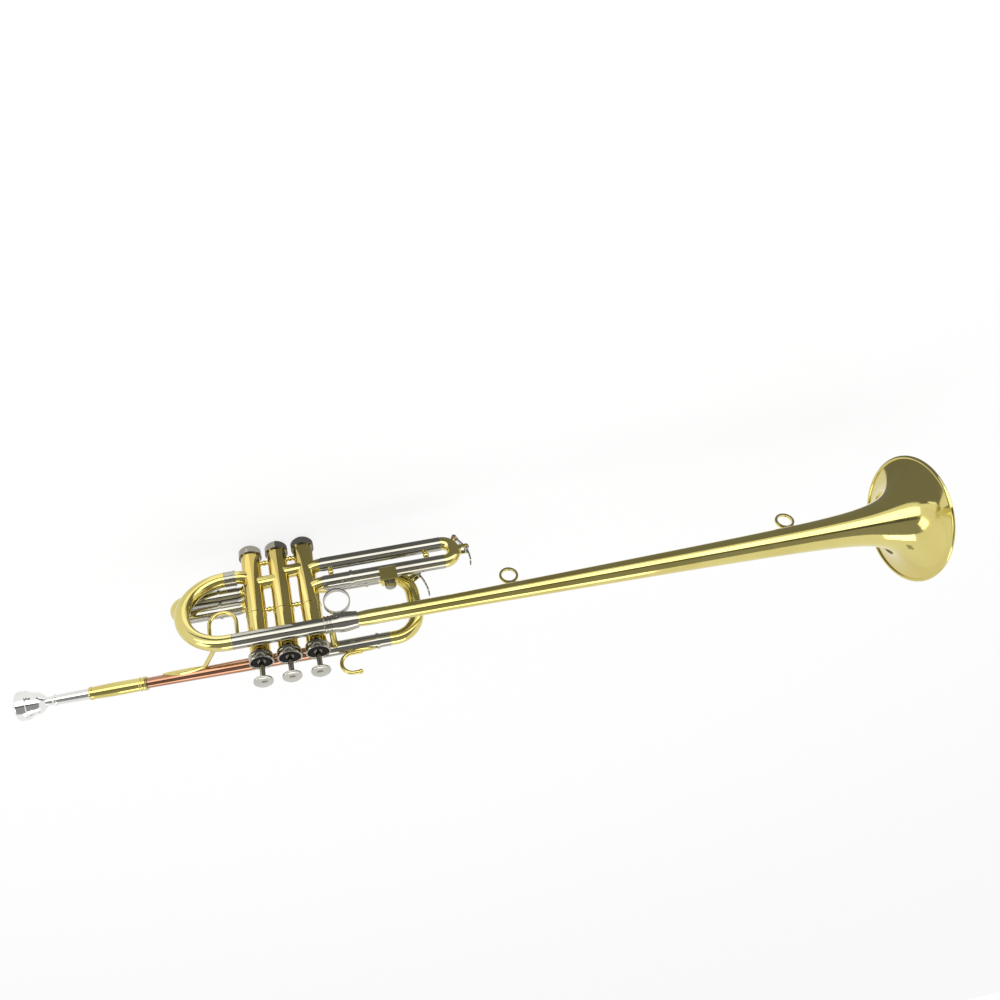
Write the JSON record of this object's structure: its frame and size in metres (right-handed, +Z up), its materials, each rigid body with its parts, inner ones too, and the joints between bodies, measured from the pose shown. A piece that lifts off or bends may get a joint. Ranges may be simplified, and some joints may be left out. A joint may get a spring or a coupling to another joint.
{
  "type": "herald trumpet",
  "caption": "Straight herald trumpet with a long flared bell, flag rings, piston valves, pull-out tuning slides, water keys, finger hooks and a removable mouthpiece.",
  "frame": {"origin": "on the middle valve's axis, halfway up its casing, where the left hand holds the valve casings", "axes": "+X forward along the bell, +Y towards the player's left, +Z up with the finger buttons, as played"},
  "size_m": [0.845, 0.1304, 0.1794],
  "materials": {
    "brass": "clear lacquered, polished",
    "nickel": "polished nickel silver",
    "copper": "clear lacquered copper-rich brass, polished",
    "silver": "silver plated, polished",
    "felt": "black felt",
    "cork": "natural cork",
    "spring_steel": "bright spring wire"
  },
  "bodies": {
    "body": {"mouthpiece_receiver": "brass", "leadpipe": "copper", "bell_bow_brace": "brass", "finger_loop": "brass", "bell_bow": "brass", "bell_bow_ferrule": "nickel", "bell_socket_tube": "nickel", "bell_socket_collar": "nickel", "bell_socket_barrel": "nickel", "bell_leadpipe_brace": "brass", "finger_ring": "nickel", "valve_casing_1": "brass", "valve_casing_2": "brass", "valve_casing_3": "brass", "intervalve_tubes": "brass", "valve_block_braces": "brass", "slide_knuckles": "brass", "top_caps": "nickel", "bottom_caps": "nickel", "cap_felts": "felt", "valve_guides": "nickel", "valve_spring_1": "spring_steel", "valve_spring_2": "spring_steel", "valve_spring_3": "spring_steel", "main_slide_outer_tubes": "nickel", "valve_slide_outer_tubes": "nickel", "pinky_hook": "brass"},
    "mouthpiece": {"mouthpiece": "silver"},
    "bell": {"bell": "brass", "bell_rim_wire": "brass", "flag_rings": "brass"},
    "valve_1": {"piston_1": "nickel", "valve_stem_1": "nickel", "finger_button_1": "silver"},
    "valve_2": {"piston_2": "nickel", "valve_stem_2": "nickel", "finger_button_2": "silver"},
    "valve_3": {"piston_3": "nickel", "valve_stem_3": "nickel", "finger_button_3": "silver"},
    "main_tuning_slide": {"main_slide_legs": "nickel", "main_slide_bow": "brass", "main_water_key_saddle": "brass", "main_water_key_spring": "spring_steel"},
    "main_water_key": {"main_water_key": "nickel", "main_water_key_cork": "cork"},
    "third_slide": {"third_slide_legs": "nickel", "third_slide_bow": "brass", "third_slide_brace": "brass", "lyre_holder": "brass", "third_water_key_saddle": "brass", "third_water_key_spring": "spring_steel"},
    "third_water_key": {"third_water_key": "nickel", "third_water_key_cork": "cork"},
    "lyre_screw": {"lyre_screw": "nickel"},
    "first_slide": {"first_slide_legs": "nickel", "first_slide_bow": "brass"},
    "second_slide": {"second_slide_legs": "nickel", "second_slide_bow": "brass"}
  },
  "joints": [
    {"name": "mouthpiece_pull", "type": "slide", "parent": "body", "child": "mouthpiece", "axis": [-1, 0, 0], "range_m": [0, 0.03]},
    {"name": "bell_pull", "type": "slide", "parent": "body", "child": "bell", "axis": [1, 0, 0], "range_m": [0, 0.03]},
    {"name": "main_tuning_slide_pull", "type": "slide", "parent": "body", "child": "main_tuning_slide", "axis": [1, 0, 0], "range_m": [0, 0.028]},
    {"name": "main_water_key_hinge", "type": "hinge", "parent": "main_tuning_slide", "child": "main_water_key", "pos_m": [0.13242, -0.0102, -0.00926], "axis": [0, -0.9835, -0.1812], "range_deg": [0, 12], "stiffness_Nm_per_rad": 0.03, "springref_deg": -34.38},
    {"name": "third_slide_pull", "type": "slide", "parent": "body", "child": "third_slide", "axis": [1, 0, 0], "range_m": [0, 0.022]},
    {"name": "third_water_key_hinge", "type": "hinge", "parent": "third_slide", "child": "third_water_key", "pos_m": [0.18147, 0.0064, -0.0172], "axis": [0, -1, 0], "range_deg": [0, 12], "stiffness_Nm_per_rad": 0.03, "springref_deg": -34.38},
    {"name": "lyre_screw_turn", "type": "hinge", "parent": "third_slide", "child": "lyre_screw", "pos_m": [0.102, 0.01265, 0.012], "axis": [0, 0, 1], "continuous": true},
    {"name": "first_slide_pull", "type": "slide", "parent": "body", "child": "first_slide", "axis": [-1, 0, 0], "range_m": [0, 0.013]},
    {"name": "second_slide_pull", "type": "slide", "parent": "body", "child": "second_slide", "axis": [0, -1, 0], "range_m": [0, 0.01]},
    {"name": "valve_1_press", "type": "slide", "parent": "body", "child": "valve_1", "axis": [0, 0, -1], "range_m": [0, 0.017], "stiffness_N_per_m": 120, "springref_m": -0.02, "deforming": ["valve_spring_1"]},
    {"name": "valve_2_press", "type": "slide", "parent": "body", "child": "valve_2", "axis": [0, 0, -1], "range_m": [0, 0.017], "stiffness_N_per_m": 120, "springref_m": -0.02, "deforming": ["valve_spring_2"]},
    {"name": "valve_3_press", "type": "slide", "parent": "body", "child": "valve_3", "axis": [0, 0, -1], "range_m": [0, 0.017], "stiffness_N_per_m": 120, "springref_m": -0.02, "deforming": ["valve_spring_3"]}
  ]
}
